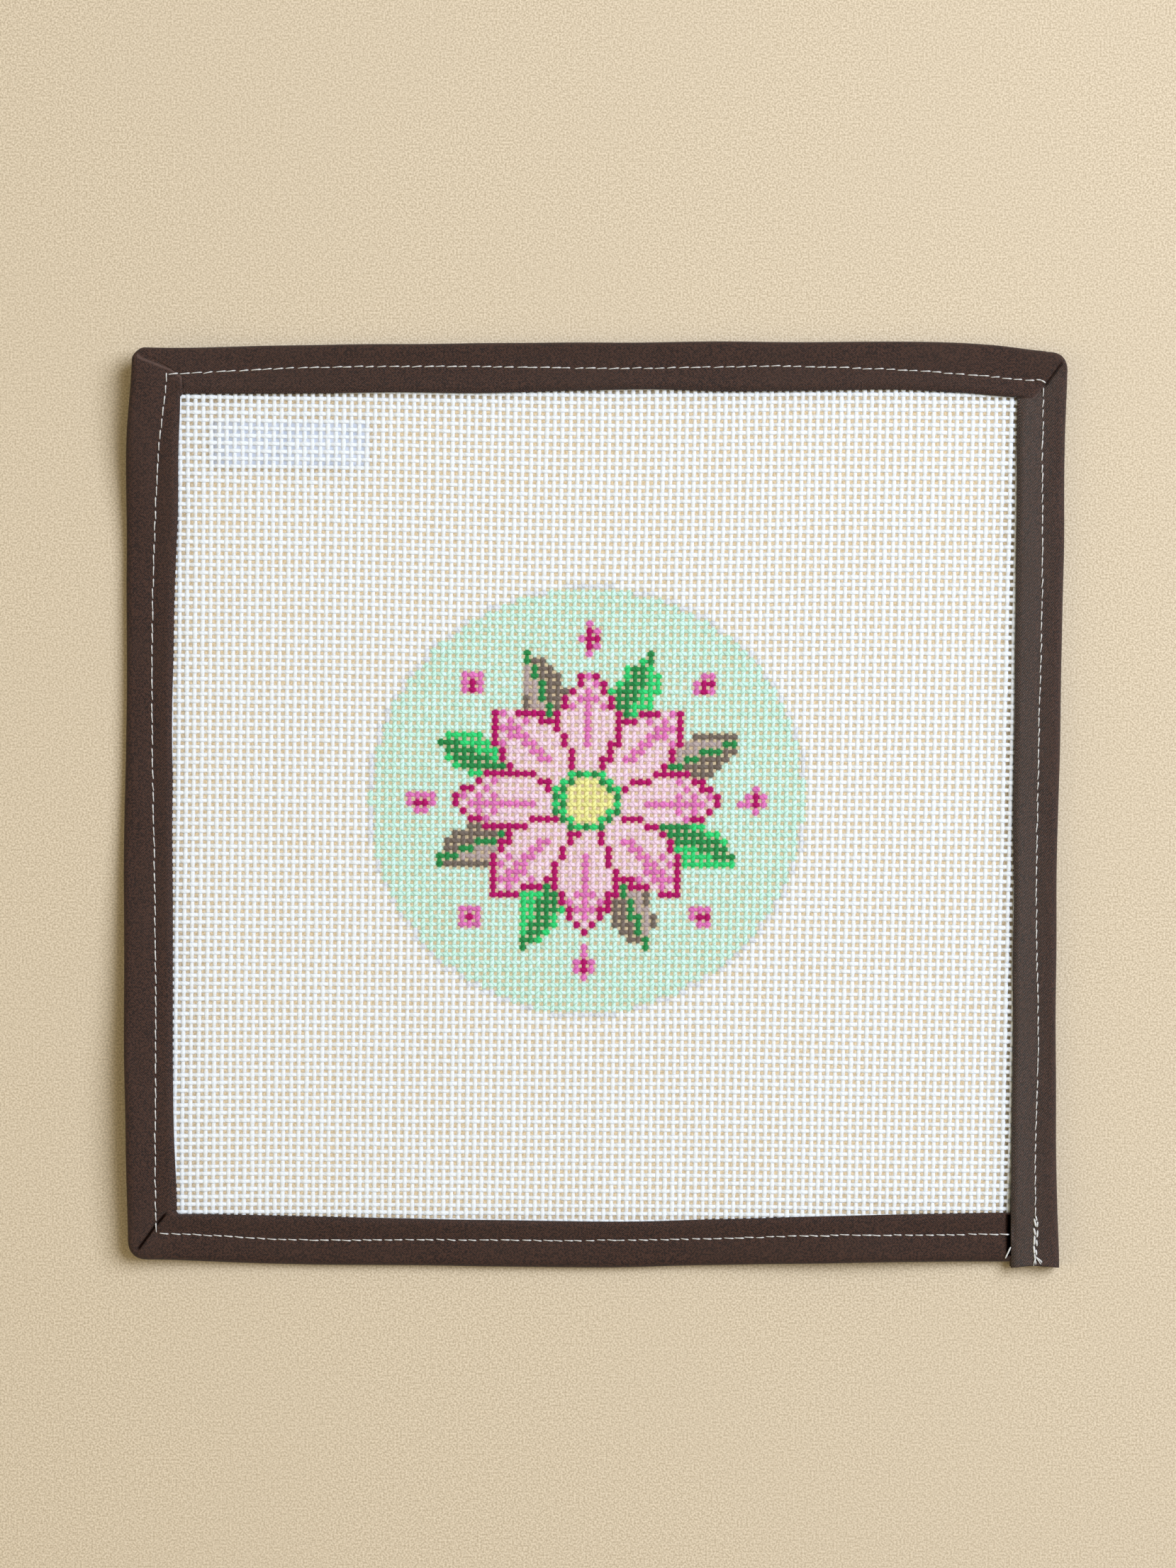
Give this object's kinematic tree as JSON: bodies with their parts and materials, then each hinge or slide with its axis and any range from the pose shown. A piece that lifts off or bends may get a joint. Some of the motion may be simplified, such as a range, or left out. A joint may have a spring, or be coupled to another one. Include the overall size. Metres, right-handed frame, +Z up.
{
  "type": "needlepoint canvas panel",
  "caption": "Square open-weave needlepoint canvas with a painted round design, its cut edges bound in folded tape, ready to be stitched.",
  "frame": {"origin": "on the surface that the panel lies on, below the middle of its outline", "axes": "+Z up out of the painted face, +Y towards the top of the design, +X towards its right"},
  "size_m": [0.2393, 0.2352, 0.0083],
  "materials": {
    "canvas": "white mono canvas of hard-twisted cotton, sized and matt, 13 threads to the inch",
    "binding_tape": "chocolate brown twill bias tape with a faint sheen, sewn with white thread",
    "label_tape": "plain white woven label tape, blank"
  },
  "bodies": {
    "root": {"canvas": "canvas", "binding_tape": "binding_tape", "label_tape": "label_tape"}
  },
  "joints": []
}
